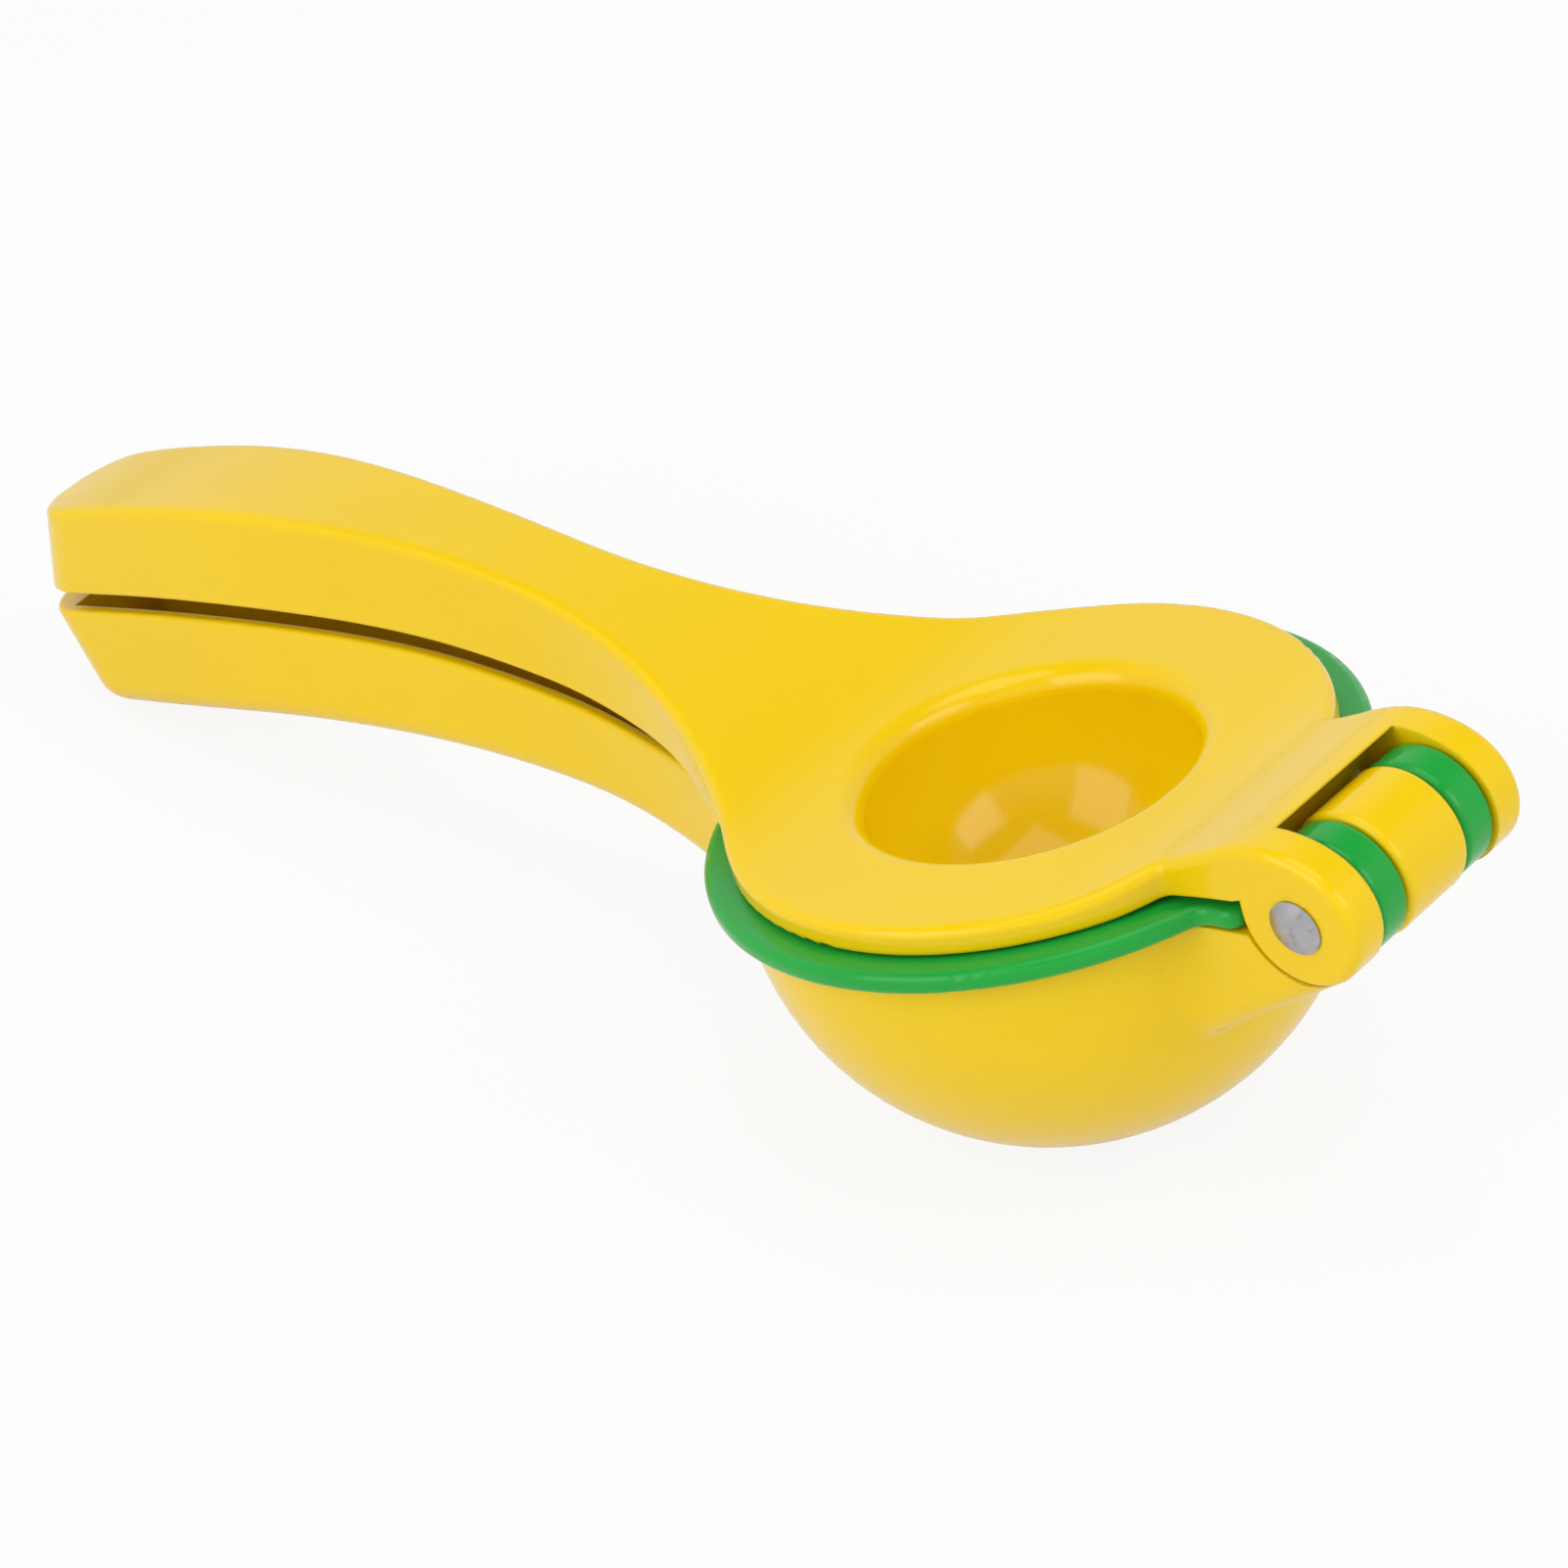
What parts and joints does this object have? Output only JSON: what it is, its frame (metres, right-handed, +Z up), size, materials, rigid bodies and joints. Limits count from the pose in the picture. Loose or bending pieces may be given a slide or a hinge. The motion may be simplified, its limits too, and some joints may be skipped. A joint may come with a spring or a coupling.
{
  "type": "citrus press",
  "caption": "Hinged hand citrus press: a domed press lever closes into a lime bowl that nests in a larger cup lever, all turning on a common rivet.",
  "frame": {"origin": "point where the bottom of the cup touches the table", "axes": "+X from the handles towards the hinge, +Y along the hinge pin, +Z up from the table"},
  "size_m": [0.2198, 0.08, 0.0623],
  "materials": {
    "yellow_enamel": "glossy powder enamel on cast aluminium",
    "green_enamel": "glossy powder enamel on cast aluminium",
    "rivet_steel": "plain worn steel"
  },
  "bodies": {
    "cup": {"cup_lever": "yellow_enamel"},
    "insert": {"lime_insert": "green_enamel"},
    "press": {"press_lever": "yellow_enamel", "hinge_rivet": "rivet_steel"}
  },
  "joints": [
    {"name": "insert_hinge", "type": "hinge", "parent": "cup", "child": "insert", "pos_m": [0.04831, 0, 0.05377], "axis": [0, 1, 0], "range_deg": [0, 70]},
    {"name": "press_hinge", "type": "hinge", "parent": "insert", "child": "press", "pos_m": [0.04831, 0, 0.05377], "axis": [0, 1, 0], "range_deg": [0, 75]}
  ]
}
